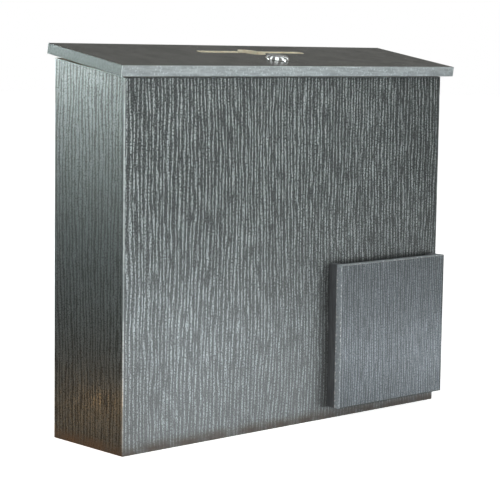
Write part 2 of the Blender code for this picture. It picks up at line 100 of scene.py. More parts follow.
# ---------------------------------------------------------------- material nodes
class Nodes:
    """Short names for building one material's node tree."""

    def __init__(self, name):
        self.material = bpy.data.materials.new(name)
        self.material.use_nodes = True
        self.tree = self.material.node_tree
        self.shader = self.tree.nodes["Principled BSDF"]
        self.place = self.node("ShaderNodeTexCoord").outputs["Object"]

    def node(self, kind, **settings):
        node = self.tree.nodes.new(kind)
        for key, value in settings.items():
            setattr(node, key, value)
        return node

    def put(self, socket, value):
        if isinstance(value, bpy.types.NodeSocket):
            self.tree.links.new(value, socket)
        else:
            socket.default_value = value

    def math(self, operation, *values, clamp=False):
        node = self.node("ShaderNodeMath", operation=operation, use_clamp=clamp)
        for socket, value in zip(node.inputs, values):
            self.put(socket, value)
        return node.outputs[0]

    def axes(self, vector):
        node = self.node("ShaderNodeSeparateXYZ")
        self.put(node.inputs[0], vector)
        return node.outputs

    def vector(self, x=0.0, y=0.0, z=0.0):
        node = self.node("ShaderNodeCombineXYZ")
        for socket, value in zip(node.inputs, (x, y, z)):
            self.put(socket, value)
        return node.outputs[0]

    def noise(self, vector, scale=1.0, detail=2.0, roughness=0.5):
        node = self.node("ShaderNodeTexNoise")
        self.put(node.inputs["Vector"], vector)
        node.inputs["Scale"].default_value = scale
        node.inputs["Detail"].default_value = detail
        node.inputs["Roughness"].default_value = roughness
        return node.outputs["Fac"]

    def stretched(self, vector, x_scale, y_scale, z_scale, roughness=0.6):
        """Noise with its own scale along each axis."""
        scaled = [self.math("MULTIPLY", part, scale)
                  for part, scale in zip(self.axes(vector), (x_scale, y_scale, z_scale))]
        return self.noise(self.vector(*scaled), detail=3.0, roughness=roughness)

    def ramp(self, value, low, high, start=0.0, end=1.0):
        """Smooth step from start to end while the value goes from low to high."""
        node = self.node("ShaderNodeMapRange", interpolation_type="SMOOTHSTEP")
        for key, item in (("Value", value), ("From Min", low), ("From Max", high),
                          ("To Min", start), ("To Max", end)):
            self.put(node.inputs[key], item)
        return node.outputs["Result"]

    def mix(self, share, first, second, blend="MIX"):
        node = self.node("ShaderNodeMix", data_type="RGBA", blend_type=blend)
        self.put(node.inputs[0], share)
        for socket, value in ((node.inputs[6], first), (node.inputs[7], second)):
            self.put(socket, value if isinstance(value, bpy.types.NodeSocket) else (*value, 1.0))
        return node.outputs[2]

    def bump(self, height, distance, strength=0.5):
        node = self.node("ShaderNodeBump")
        self.put(node.inputs["Height"], height)
        node.inputs["Distance"].default_value = distance
        node.inputs["Strength"].default_value = strength
        return node.outputs["Normal"]

    def finish(self, colour, roughness, normal=None, metallic=0.0, specular=0.5):
        inputs = self.shader.inputs
        self.put(inputs["Base Color"], colour)
        self.put(inputs["Roughness"], roughness)
        self.put(inputs["Metallic"], metallic)
        if normal:
            self.put(inputs["Normal"], normal)
        inputs["Specular IOR Level"].default_value = specular
        return self.material


# ---------------------------------------------------------------- materials
GRAIN_CELLS = 4.3            # noise cells in one pitch of the grain
WAVE_SHARE = 0.27            # how much of the lines comes from a regular wave, the rest from noise
BASE_LIGHT_HEIGHT = 0.24           # height at which the painted light near the base ends
# Dark brown shade with a brown reflection, painted along the base of the walls.
BASE_SHADE_START, BASE_SHADE_REACH = 1.35, 0.0085      # strength at the base, and height that takes one off
BASE_SHADE_COLOUR = (0.078, 0.056, 0.040)
# Colour and strength of the shade painted on the front behind the pocket and just above it.
POCKET_SHADE_COLOUR, POCKET_SHADE_SHARE = (0.010, 0.010, 0.011), 0.85


def wood_flow(nodes):
    """Places on the board (across, up) and the distance across its gently drifting grain."""
    x, y, up = nodes.axes(nodes.place)
    across = flow = nodes.math("ADD", x, y)
    for wide, tall, depth, reach in ((7.0, 2.8, 0.0, 0.030), (36.0, 15.0, 2.0, 0.0028),
                                     (260.0, 120.0, 4.0, 0.0007)):
        value = nodes.noise(nodes.vector(nodes.math("MULTIPLY", across, wide), depth,
                                         nodes.math("MULTIPLY", up, tall)), detail=1.0)
        drift = nodes.math("MULTIPLY", nodes.math("SUBTRACT", value, 0.5), reach)
        flow = nodes.math("ADD", flow, drift)
    return across, up, flow


def paint_shade_behind_pocket(nodes, colour, left, right, bottom, top):
    """Painted shade on the front between the given sides and heights, behind the pocket and just
    above it, which fades out at the top.
    """
    x, y, up = nodes.axes(nodes.place)
    behind = nodes.math("MULTIPLY", nodes.ramp(x, left - 0.002, left + 0.004),
                        nodes.math("LESS_THAN", x, right))
    behind = nodes.math("MULTIPLY", behind, nodes.math("LESS_THAN", y, 0.0))
    behind = nodes.math("MULTIPLY", behind, nodes.math("GREATER_THAN", up, bottom))
    fade = nodes.ramp(up, top - 0.001, top + 0.005, POCKET_SHADE_SHARE, 0.0)
    return nodes.mix(nodes.math("MULTIPLY", behind, fade), colour, POCKET_SHADE_COLOUR)


def laminate(name, pitch, ground, silver, fill, relief, roughness, polish, sheen, base_shaded=False,
             haze=1.0, pocket=None):
    """Charcoal wood-effect laminate with silvery embossed grain along Z.

    fill is the share of the surface that the silvery lines take, polish how much smoother they
    are and sheen how metallic. haze is how many times lighter the ground is painted near the
    base, a painted veil of light that also dims the silver there. pocket is the left, right,
    bottom and top of the part behind the pocket, where shade is painted on the front.
    """
    nodes = Nodes(name)
    across, up, flow = wood_flow(nodes)

    def grain(source, wide, tall, depth, detail=1.0):
        """Noise with the given cells per metre across and along the grain."""
        place = nodes.vector(nodes.math("MULTIPLY", source, wide), depth,
                             nodes.math("MULTIPLY", up, tall))
        return nodes.noise(place, detail=detail, roughness=0.6)

    # Lines: a wave whose spacing varies, mixed with noise drawn out along the grain.
    spread = nodes.math("SUBTRACT", grain(flow, 0.6 / pitch, 18.0, 1.0), 0.5)
    turn = nodes.math("ADD", nodes.math("DIVIDE", flow, pitch), nodes.math("MULTIPLY", spread, 1.5))
    wave = nodes.math("SINE", nodes.math("MULTIPLY", turn, math.tau))
    wave = nodes.math("MULTIPLY_ADD", wave, 0.5, 0.5)
    lines = grain(flow, GRAIN_CELLS / pitch, 60.0, 3.0)
    mixed = nodes.math("MULTIPLY_ADD", wave, WAVE_SHARE,
                       nodes.math("MULTIPLY", lines, 1.0 - WAVE_SHARE))
    level = 0.50 + 0.40 * (0.5 - fill)
    line = nodes.ramp(mixed, level - 0.06, level + 0.12)

    # The lines are broken into beads, and fine dust lies between them.
    beads = nodes.ramp(grain(flow, GRAIN_CELLS / pitch, 700.0, 5.0), 0.38, 0.60, 0.0, 1.45)
    dust = nodes.ramp(grain(across, 1100.0, 800.0, 8.0, 0.0), 0.45, 0.80, 0.0, 0.35)
    mask = nodes.math("ADD", nodes.math("MULTIPLY", line, beads), dust, clamp=True)

    # Painted light near the base: the ground is made lighter and the silver duller, fading out
    # upwards.
    if haze > 1.0:
        near_base = nodes.ramp(up, 0.0, BASE_LIGHT_HEIGHT, 1.0, 0.0)
        lit_ground = (haze * sum(ground) / 3.0,) * 3
        dulled = tuple(part * 0.80 for part in silver)
        ground = nodes.mix(near_base, ground, lit_ground)
        silver = nodes.mix(near_base, silver, dulled)
    shade = nodes.ramp(grain(across, 16.0, 6.0, 9.0, 2.0), 0.25, 0.75, 0.90, 1.10)
    colour = nodes.mix(1.0, nodes.mix(mask, ground, silver), nodes.vector(shade, shade, shade),
                       "MULTIPLY")
    # Painted shade: a dark brown band along the base, ragged at its upper edge.
    if base_shaded:
        patch = nodes.ramp(grain(across, 40.0, 60.0, 11.0, 3.0), 0.30, 0.6, 0.45, 1.0)
        low = nodes.math("SUBTRACT", BASE_SHADE_START, nodes.math("DIVIDE", up, BASE_SHADE_REACH), clamp=True)
        colour = nodes.mix(nodes.math("MULTIPLY", low, patch), colour, BASE_SHADE_COLOUR)
    # Painted shade behind the pocket and just above its top edge.
    if pocket:
        colour = paint_shade_behind_pocket(nodes, colour, *pocket)
    rough = nodes.math("MULTIPLY_ADD", mask, -polish, roughness)
    metallic = nodes.math("MULTIPLY", mask, sheen)
    return nodes.finish(colour, rough, nodes.bump(mask, relief), metallic)


def lid_laminate(name):
    """Smooth, darker laminate of the lid, with faint grain along the lid and dulled patches."""
    nodes = Nodes(name)
    grain = nodes.stretched(nodes.place, 22.0, 620.0, 0.0)
    dust = nodes.noise(nodes.place, 46.0, 4.0, 0.6)
    specks = nodes.ramp(nodes.noise(nodes.place, 700.0, 1.0), 0.58, 0.72)
    colour = nodes.mix(nodes.ramp(grain, 0.3, 0.7), (0.040, 0.040, 0.036), (0.082, 0.081, 0.072))
    colour = nodes.mix(nodes.math("MULTIPLY", specks, 0.6), colour, (0.17, 0.17, 0.16))
    shade = nodes.ramp(nodes.noise(nodes.place, 190.0, 3.0, 0.65), 0.35, 0.65, 0.62, 1.22)
    colour = nodes.mix(1.0, colour, nodes.vector(shade, shade, shade), "MULTIPLY")
    rough = nodes.ramp(dust, 0.3, 0.7, 0.13, 0.24)
    normal = nodes.bump(nodes.math("ADD", grain, nodes.math("MULTIPLY", dust, 0.5)), 0.00005)
    return nodes.finish(colour, rough, normal)


def edge_band(name, light, dark, roughness=0.38, chipped=None):
    """Plastic edging drawn lengthwise, with small scuffs, and chips near the depth chipped."""
    nodes = Nodes(name)
    drawn = nodes.stretched(nodes.place, 60.0, 500.0, 500.0)
    scuff = nodes.noise(nodes.place, 520.0, 3.0, 0.65)
    colour = nodes.mix(nodes.ramp(drawn, 0.3, 0.7), dark, light)
    worn = nodes.math("MULTIPLY", nodes.ramp(scuff, 0.54, 0.66), 0.6)
    colour = nodes.mix(worn, colour, tuple(min(1.0, part * 1.5) for part in light))
    if chipped is not None:
        depth = nodes.axes(nodes.place)[1]
        near = nodes.ramp(depth, chipped - 0.0026, chipped - 0.0010)
        chips = nodes.ramp(nodes.noise(nodes.place, 260.0, 1.0), 0.53, 0.57)
        colour = nodes.mix(nodes.math("MULTIPLY", near, chips), colour, (0.95, 0.96, 0.97))
    rough = nodes.ramp(scuff, 0.3, 0.7, roughness - 0.06, roughness + 0.08)
    return nodes.finish(colour, rough, nodes.bump(drawn, 0.00004))


def worn_corner(name):
    """Rounded corner of the edging, chipped to white in places."""
    nodes = Nodes(name)
    wear = nodes.noise(nodes.place, 260.0, 3.0, 0.6)
    chips = nodes.ramp(nodes.noise(nodes.place, 420.0, 1.0), 0.58, 0.64)
    colour = nodes.mix(nodes.ramp(wear, 0.35, 0.65), (0.20, 0.22, 0.24), (0.34, 0.37, 0.39))
    colour = nodes.mix(chips, colour, (0.93, 0.94, 0.95))
    return nodes.finish(colour, nodes.ramp(wear, 0.3, 0.7, 0.40, 0.55), nodes.bump(wear, 0.00004))


def fibreboard(name, dark, light):
    """Raw cut edge of medium-density fibreboard."""
    nodes = Nodes(name)
    fibres = nodes.noise(nodes.place, 1500.0, 4.0, 0.7)
    clumps = nodes.noise(nodes.place, 330.0, 3.0, 0.6)
    stain = nodes.noise(nodes.place, 60.0, 3.0)
    colour = nodes.mix(nodes.ramp(clumps, 0.3, 0.7), dark, light)
    for share, darker in ((nodes.ramp(fibres, 0.55, 0.8, 0.0, 0.5), 0.5),
                          (nodes.ramp(stain, 0.55, 0.75, 0.0, 0.3), 0.7)):
        colour = nodes.mix(share, colour, tuple(part * darker for part in dark))
    rough = nodes.ramp(fibres, 0.2, 0.8, 0.78, 0.95)
    normal = nodes.bump(nodes.math("ADD", fibres, clumps), 0.00012, 0.6)
    return nodes.finish(colour, rough, normal, specular=0.25)


def melamine(name):
    """Plain dark backing sheet on the faces inside the box."""
    nodes = Nodes(name)
    peel = nodes.noise(nodes.place, 700.0, 2.0)
    cloud = nodes.noise(nodes.place, 24.0, 4.0, 0.6)
    dust = nodes.ramp(nodes.noise(nodes.place, 1300.0, 2.0), 0.62, 0.75, 0.0, 0.4)
    colour = nodes.mix(nodes.ramp(cloud, 0.3, 0.7), (0.055, 0.055, 0.054), (0.085, 0.085, 0.082))
    colour = nodes.mix(dust, colour, (0.16, 0.15, 0.14))
    return nodes.finish(colour, nodes.ramp(cloud, 0.3, 0.7, 0.46, 0.60), nodes.bump(peel, 0.00004))


def painted_strip(name):
    """Black-painted wood strip with brush marks along it."""
    nodes = Nodes(name)
    brush = nodes.stretched(nodes.place, 900.0, 900.0, 55.0)
    thin = nodes.noise(nodes.place, 160.0, 4.0, 0.6)
    colour = nodes.mix(nodes.ramp(brush, 0.3, 0.7), (0.108, 0.112, 0.120), (0.172, 0.177, 0.188))
    colour = nodes.mix(nodes.ramp(thin, 0.62, 0.78, 0.0, 0.5), colour, (0.20, 0.18, 0.155))
    return nodes.finish(colour, nodes.ramp(thin, 0.3, 0.7, 0.42, 0.6), nodes.bump(brush, 0.0001))


def metal(name, light, dark, smooth, rough, grain, relief):
    """Plated metal with handling marks and fine scratches."""
    nodes = Nodes(name)
    cloud = nodes.noise(nodes.place, 130.0, 4.0, 0.6)
    scratch = nodes.stretched(nodes.place, grain, grain * 0.12, grain, 0.7)
    colour = nodes.mix(nodes.ramp(cloud, 0.3, 0.7), dark, light)
    roughness = nodes.math("ADD", nodes.ramp(cloud, 0.3, 0.7, smooth, rough),
                           nodes.ramp(scratch, 0.6, 0.8, 0.0, 0.12))
    return nodes.finish(colour, roughness, nodes.bump(scratch, relief, 0.4), metallic=1.0)


def felt(name):
    """Dark felt of the two discs that the lid rests on."""
    nodes = Nodes(name)
    nap = nodes.noise(nodes.place, 2600.0, 3.0, 0.7)
    colour = nodes.mix(nodes.ramp(nap, 0.3, 0.7), (0.02, 0.02, 0.021), (0.075, 0.075, 0.077))
    rough = nodes.ramp(nap, 0.3, 0.7, 0.85, 1.0)
    return nodes.finish(colour, rough, nodes.bump(nap, 0.0002, 0.8), specular=0.2)


def paint_keyway_shade(name):
    """Near-black painted shade inside the keyway, mottled and a little metallic."""
    nodes = Nodes(name)
    mottle = nodes.noise(nodes.place, 1800.0, 3.0)
    colour = nodes.mix(nodes.ramp(mottle, 0.3, 0.7), (0.012, 0.011, 0.010), (0.05, 0.042, 0.03))
    rough = nodes.ramp(mottle, 0.3, 0.7, 0.35, 0.6)
    return nodes.finish(colour, rough, nodes.bump(mottle, 0.00005), metallic=0.6)


POCKET_SHADE_FROM = 0.012           # height above the pocket's lower edge where the painted shade starts
pocket_low, pocket_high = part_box("pocket_front")
BODY = laminate(
    "body_laminate", pitch=0.0039, ground=(0.028, 0.033, 0.033), silver=(0.53, 0.57, 0.57),
    fill=0.34, relief=0.00020, roughness=0.50, polish=0.14, sheen=0.30, base_shaded=True, haze=4.2,
    pocket=(pocket_low.x, pocket_high.x, pocket_low.z + POCKET_SHADE_FROM, pocket_high.z))
# Darker copy of the body laminate for the left and right walls: painted shade.
SHADED_SIDE = laminate(
    "side_laminate_painted_shade", pitch=0.0042, ground=(0.012, 0.014, 0.014), silver=(0.118, 0.133, 0.133),
    fill=0.54, relief=0.00012, roughness=0.74, polish=0.52, sheen=0.12, base_shaded=True)
# Much lighter copy of the laminate on the walls' rounded corners and eased upper and lower edges:
# painted highlight.
BODY_EDGE_HIGHLIGHT = laminate(
    "body_edge_painted_highlight", pitch=0.0042, ground=(0.42, 0.45, 0.46), silver=(0.88, 0.92, 0.92),
    fill=0.6, relief=0.0001, roughness=0.40, polish=0.14, sheen=0.2, base_shaded=True)
POCKET = laminate(
    "pocket_laminate", pitch=0.0029, ground=(0.070, 0.079, 0.086), silver=(0.27, 0.29, 0.31),
    fill=0.45, relief=0.00012, roughness=0.46, polish=0.14, sheen=0.25)
LID = lid_laminate("lid_laminate")
EDGING = edge_band("edge_band", (0.61, 0.65, 0.67), (0.40, 0.435, 0.455))
POCKET_EDGING = edge_band("pocket_edge_band", (0.62, 0.67, 0.72), (0.46, 0.50, 0.55),
                          chipped=pocket_high.y)
# Darker copy of the pocket's edging for its top band: painted shade.
POCKET_TOP_SHADED = edge_band("pocket_top_band_painted_shade", (0.42, 0.45, 0.48), (0.30, 0.32, 0.34))
# Near-black copy of the edging for bands that face away from the light: painted shade.
SHADED_EDGING = edge_band("edge_band_painted_shade", (0.085, 0.098, 0.098), (0.050, 0.058, 0.058), 0.70)
EDGING_WORN = worn_corner("edge_band_worn")
FIBRE = fibreboard("raw_fibreboard", (0.30, 0.24, 0.17), (0.44, 0.36, 0.26))
# Far lighter copy of the fibreboard for the lid's cut edges, slot and lock hole: painted light.
LIT_FIBRE = fibreboard("fibreboard_painted_light", (1.0, 0.87, 0.67), (1.0, 0.94, 0.77))
LINING = melamine("lining")
PAINTED = painted_strip("painted_strip")
CHROME = metal("chrome", light=(0.96, 0.965, 0.97), dark=(0.91, 0.92, 0.93),
               smooth=0.07, rough=0.13, grain=2600.0, relief=0.000004)
ZINC = metal("zinc_steel", light=(0.62, 0.62, 0.59), dark=(0.46, 0.46, 0.44),
             smooth=0.26, rough=0.40, grain=1700.0, relief=0.00002)
FELT = felt("bumper_felt")
# Near-black material of the cup inside the keyway: painted shade.
KEYWAY_SHADE = paint_keyway_shade("keyway_painted_shade")


# ---------------------------------------------------------------- mesh helpers
def add_piece(name, shape, materials, body, nodes, place=None):
    """Link a finished shape as a piece that rides on a body and stands for CAD nodes."""
    bmesh.ops.remove_doubles(shape, verts=shape.verts, dist=1e-7)
    bmesh.ops.recalc_face_normals(shape, faces=shape.faces)
    mesh = bpy.data.meshes.new(name)
    shape.to_mesh(mesh)
    shape.free()
    for material in materials:
        mesh.materials.append(material)
    mesh.shade_smooth()
    mesh.set_sharp_from_angle(angle=SHARP)
    piece = bpy.data.objects.new(name, mesh)
    bpy.context.scene.collection.objects.link(piece)
    if place:
        piece.matrix_world = place
    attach(piece, body)
    if nodes:
        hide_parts(*nodes)


def ring(shape, points):
    """New vertices at the points, in order."""
    return [shape.verts.new(point) for point in points]


def bridge(shape, first, second, materials=0):
    """Quads between two rings of the same length; one material, or one for each quad."""
    for index in range(len(first)):
        after = (index + 1) % len(first)
        face = shape.faces.new((first[index], first[after], second[after], second[index]))
        face.material_index = materials if isinstance(materials, int) else materials[index]


def cap(shape, loops, material=0):
    """Fill a flat face that has an outer loop and may have holes."""
    edges = set()
    for loop in loops:
        for first, second in zip(loop, loop[1:] + loop[:1]):
            edges.add(shape.edges.get((first, second)) or shape.edges.new((first, second)))
    made = bmesh.ops.triangle_fill(shape, edges=list(edges), use_beauty=True)
    for item in made["geom"]:
        if isinstance(item, bmesh.types.BMFace):
            item.material_index = material


def arc(centre, radius, start, end, steps):
    """Points on an arc between two angles in degrees."""
    angles = [math.radians(start + (end - start) * step / steps) for step in range(steps + 1)]
    return [(centre[0] + radius * math.cos(a), centre[1] + radius * math.sin(a)) for a in angles]


def eased_block(low, high, radius, segments=2, wanted=None):
    """A block whose wanted edges are rounded; wanted tests an edge's middle and direction."""
    shape = bmesh.new()
    low, high = Vector(low), Vector(high)
    place = Matrix.Translation((low + high) / 2) @ Matrix.Diagonal((*(high - low), 1.0))
    bmesh.ops.create_cube(shape, size=1.0, matrix=place)
    edges = []
    for edge in shape.edges:
        start, end = edge.verts[0].co, edge.verts[1].co
        if wanted is None or wanted((start + end) / 2, (end - start).normalized()):
            edges.append(edge)
    bmesh.ops.bevel(shape, geom=edges, offset=radius, segments=segments, profile=0.5,
                    affect="EDGES", clamp_overlap=True)
    return shape


def paint_faces(shape, rule):
    """Give each face the material number that the rule finds from its normal."""
    shape.normal_update()
    for face in shape.faces:
        face.material_index = rule(face.normal)


def rounded(part):
    """Whether a face with this part of its normal belongs to a rounded edge."""
    return 0.2 < abs(part) < 0.98


# ---------------------------------------------------------------- body
def wall_plan(half, inset):
    """Plan (along, depth) of a mitred board, rounded outside, and the material of each edge."""
    steps, radius = 5, CORNER - inset
    curve = [math.radians(45 * step / steps) for step in range(steps + 1)]
    bend = [(CORNER - radius * math.sin(t), CORNER - radius * math.cos(t)) for t in curve]
    left = [(-half + a, d) for a, d in reversed(bend)]
    right = [(half - a, d) for a, d in bend]
    inner = BOARD - inset
    plan = left + right + [(half - inner, inner), (inner - half, inner)]
    corner, face, cut, lining = 1, 0, 2, 3
    materials = [corner] * steps + [face] + [corner] * steps + [cut, lining, cut]
    return plan, materials


def make_walls():
    """Four mitred walls with a sloped upper edge, and the board that closes the box below."""
    width, depth = body_high.x - HAIRLINE, body_high.y - HAIRLINE
    sides = {
        "front": (width, lambda a, d: (a, body_low.y + d)),
        "back": (width, lambda a, d: (-a, body_high.y - d)),
        "left": (depth, lambda a, d: (body_low.x + d, -a)),
        "right": (depth, lambda a, d: (body_high.x - d, a)),
    }
    for side, (half, place) in sides.items():
        shape = bmesh.new()
        inset, materials = wall_plan(half, EASE)
        inset = [place(*point) for point in inset]
        full = [place(*point) for point in wall_plan(half, 0.0)[0]]
        levels = [
            ring(shape, [(x, y, 0.0) for x, y in inset]),
            ring(shape, [(x, y, EASE) for x, y in full]),
            ring(shape, [(x, y, body_top(y) - EASE) for x, y in full]),
            ring(shape, [(x, y, body_top(y)) for x, y in inset]),
        ]
        # The eased upper and lower edges take the corners' painted highlight too.
        eased = [1 if material == 0 else material for material in materials]
        bridge(shape, levels[0], levels[1], eased)
        bridge(shape, levels[1], levels[2], materials)
        bridge(shape, levels[2], levels[3], eased)
        for loop in (levels[0], levels[3]):
            shape.faces.new(loop).material_index = 2
        # The left and right walls take the darker copy of the laminate, which is painted shade.
        face = BODY if side in ("front", "back") else SHADED_SIDE
        add_piece(f"wall_{side}", shape, (face, BODY_EDGE_HIGHLIGHT, FIBRE, LINING), "base",
                  [f"{side}_panel"])

    low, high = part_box("bottom_panel")
    fill = Vector((FLOOR_FILL, FLOOR_FILL, 0))
    shape = eased_block(low - fill, high + fill, 0.0002)
    paint_faces(shape, lambda normal: 0 if abs(normal.z) > 0.9 else 1)
    add_piece("floor_board", shape, (LINING, FIBRE), "base", ["bottom_panel"])


def make_pocket():
    """The pocket's front board with its edge bands, on three strips."""
    low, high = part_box("pocket_front")
    fill = Vector((POCKET_FILL, 0, POCKET_FILL))
    shape = eased_block(low - fill, high + fill, 0.0001, 1)
    paint_faces(shape, lambda normal: 0 if abs(normal.y) > 0.9 else 1)
    add_piece("pocket_board", shape, (POCKET, FIBRE), "base", ["pocket_front"])
    ends = {
        "left": (0, -1, (POCKET_EDGING, EDGING_WORN)),
        # The right and bottom bands take the darker copy of the edging, which is painted shade.
        "right": (0, 1, (SHADED_EDGING, SHADED_EDGING)),
        "bottom": (2, -1, (SHADED_EDGING, SHADED_EDGING)),
        "top": (2, 1, (POCKET_TOP_SHADED, EDGING_WORN)),
    }
    for side, (axis, sign, finish) in ends.items():
        low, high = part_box(f"pocket_band_{side}")
        outer = low[axis] if sign < 0 else high[axis]
        if axis == 2:
            low.x, high.x = low.x - STRIP_FILL, high.x + STRIP_FILL

        def wanted(middle, direction, axis=axis, outer=outer):
            return abs(middle[axis] - outer) < SAME and abs(direction.y) < 0.5

        shape = eased_block(low, high, BAND_EASE, 3, wanted)
        paint_faces(shape, lambda normal, axis=axis: 1 if rounded(normal[axis]) else 0)
        add_piece(f"pocket_edging_{side}", shape, finish, "base",
                  [f"pocket_band_{side}"])
    for side in ("left", "right", "bottom"):
        low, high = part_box(f"pocket_{side}_strip")
        low.y, high.y = low.y - STRIP_FILL, high.y + STRIP_FILL
        if side == "bottom":
            low.x, high.x = low.x - STRIP_FILL, high.x + STRIP_FILL
        shape = eased_block(low, high, 0.0005, 3)
        add_piece(f"pocket_spacer_{side}", shape, (PAINTED,), "base",
                  [f"pocket_{side}_strip"])


# ---------------------------------------------------------------- lid
def slot_ring(grow):
    """Outline of the money slot with its widening, grown outwards all round."""
    half, radius = SLOT_WIDTH / 2 + grow, WIDENING_RADIUS + grow
    end = (SLOT_LENGTH - SLOT_WIDTH) / 2
    meet = math.degrees(math.asin(half / radius))
    outline = arc((end, SLOT_Y), half, -90, 90, 24)
    outline += arc((0, SLOT_Y), radius, meet, 180 - meet, 40)
    outline += arc((-end, SLOT_Y), half, 90, 270, 24)
    outline += arc((0, SLOT_Y), radius, 180 + meet, 360 - meet, 40)
    return outline


def rectangle(low, high, inset):
    """Outline of a rectangle, moved inwards by inset."""
    return [(low[0] + inset, low[1] + inset), (high[0] - inset, low[1] + inset),
            (high[0] - inset, high[1] - inset), (low[0] + inset, high[1] - inset)]


def make_lid():
    """The lid's board with its slot and the lock's hole, and its four edge bands."""
    edge = BAND + HAIRLINE
    low, high = (edge - LID_HALF, LID_FRONT + edge), (LID_HALF - edge, LID_REAR - edge)

    def board_ring(grow):
        return rectangle(low, high, grow)

    def hole_ring(grow):
        return arc((0, LOCK_Y), LOCK_HOLE_RADIUS + grow, 0, 360, 64)[:-1]

    shape = bmesh.new()
    tops, bottoms = [], []
    for outline, rim in ((board_ring, 0.00012), (slot_ring, 0.0004), (hole_ring, 0.0004)):
        levels = [(LID_UNDER, rim), (LID_UNDER + rim, 0.0), (LID_TOP - rim, 0.0), (LID_TOP, rim)]
        rings = [ring(shape, [(x, y, z) for x, y in outline(grow)]) for z, grow in levels]
        for first, second in zip(rings, rings[1:]):
            bridge(shape, first, second, 2)
        bottoms.append(rings[0])
        tops.append(rings[-1])
    cap(shape, bottoms, 1)
    cap(shape, tops, 0)
    # The lid's cut edges, slot and lock hole take the lighter copy of the fibreboard, which is
    # painted light.
    add_piece("lid_board", shape, (LID, LINING, LIT_FIBRE), "lid",
              ["lid_panel"], lid_frame)

    # Each band's low and high corner in plan, and the axis and place of its outer face.
    front, rear = LID_FRONT + edge, LID_REAR - edge
    bands = {
        "front": ((-LID_HALF, LID_FRONT), (LID_HALF, LID_FRONT + BAND), 1, LID_FRONT),
        "rear": ((-LID_HALF, LID_REAR - BAND), (LID_HALF, LID_REAR), 1, LID_REAR),
        "left": ((-LID_HALF, front), (BAND - LID_HALF, rear), 0, -LID_HALF),
        "right": ((LID_HALF - BAND, front), (LID_HALF, rear), 0, LID_HALF),
    }
    for side, (start, end, axis, outer) in bands.items():

        def wanted(middle, direction, axis=axis, outer=outer):
            return abs(middle[axis] - outer) < SAME and (axis == 1 or abs(direction.z) < 0.5)

        shape = eased_block((*start, LID_UNDER), (*end, LID_TOP), BAND_EASE, 3, wanted)
        # All but the front band take the darker copy of the edging, which is painted shade.
        face = EDGING if side == "front" else SHADED_EDGING
        add_piece(f"lid_edging_{side}", shape, (face,), "lid",
                  [f"lid_band_{side}"], lid_frame)


# ---------------------------------------------------------------- lock
def turned(profile, segments, shift):
    """Spin a closed profile of (radius, height); shift moves each point."""
    shape = bmesh.new()
    columns = []
    for step in range(segments):
        angle = math.tau * step / segments
        points = []
        for radius, height in profile:
            x, y = radius * math.cos(angle), radius * math.sin(angle)
            points.append(shift(x, y, height, radius, angle))
        columns.append(ring(shape, points))
    for first, second in zip(columns, columns[1:] + columns[:1]):
        bridge(shape, first, second)
    return shape


def make_lock_body():
    """Round head and threaded barrel with two flats, open for the plug."""
    bore, face_bore, barrel, head = 0.00566, 0.00666, 0.008, 0.0109
    seat, top, face_depth = 0.00002, 0.0037, 0.0012
    barrel_end = -BOARD - 0.011
    thread_from, thread_to, thread_rows = barrel_end + 0.0006, -BOARD + 0.0001, 72
    thread_pitch, thread_depth = 0.001, 0.00045
    flats_from, flats_half = -BOARD - 0.0055, 0.0069
    crest = barrel - 0.0002
    profile = [
        (bore, barrel_end + 0.0003), (bore + 0.0003, barrel_end), (barrel - 0.0008, barrel_end),
        *((crest, thread_from + 0.0104 * row / thread_rows) for row in range(thread_rows + 1)),
        (crest, -0.0001), (head - 0.0002, seat), (head, seat + 0.0002), (head, 0.0004),
        *arc((head - 0.00293, 0.00168), 0.00205, 26.6, 80, 14),
        (0.0078, top - 0.00002), (0.0077, top - 0.00020), (0.0075, top - 0.00020), (0.0074, top),
        (face_bore + 0.00025, top), (face_bore, top - 0.00025), (face_bore, top - face_depth),
        (bore, top - face_depth),
    ]

    def thread(x, y, height, radius, angle):
        if thread_from <= height < thread_to and radius > 0.0075:
            phase = (height / thread_pitch - angle / math.tau) % 1.0
            cut = thread_depth * (1 - abs(2 * phase - 1))
            fade = min(1.0, (height - barrel_end - 0.0004) / 0.001)
            x, y = x * (1 - cut * fade / radius), y * (1 - cut * fade / radius)
        if height < flats_from:
            x = max(-flats_half, min(flats_half, x))
        return (x, y, height)

    add_piece("lock_body", turned(profile, 72, thread), (CHROME,), "lid",
              ["lock_housing"], lock_frame)


def make_lock_nut():
    """Hexagonal nut under the lid, with chamfered corners and hole."""
    half_flats, height, hole, chamfer = 0.010, 0.0035, 0.0081, 0.0005
    top = -BOARD - HAIRLINE
    low = top - height
    crown = 0.97 * half_flats
    steps = 72
    angles = [math.tau * step / steps for step in range(steps)]
    reach = [half_flats / math.cos((a + math.pi / 6) % (math.pi / 3) - math.pi / 6) for a in angles]
    slope = math.tan(math.radians(28))

    def hexagon(level, sign):
        return [(r * math.cos(a), r * math.sin(a), level + sign * (r - crown) * slope)
                for r, a in zip(reach, angles)]

    def circle(radius, level):
        return [(radius * math.cos(a), radius * math.sin(a), level) for a in angles]

    shape = bmesh.new()
    outlines = (circle(hole, low + chamfer), circle(hole + chamfer, low), circle(crown, low),
                hexagon(low, 1), hexagon(top, -1), circle(crown, top), circle(hole + chamfer, top),
                circle(hole, top - chamfer))
    rings = [ring(shape, outline) for outline in outlines]
    for first, second in zip(rings, rings[1:] + rings[:1]):
        bridge(shape, first, second)
    add_piece("lock_hex_nut", shape, (ZINC,), "lid", ["lock_nut"], lock_frame)


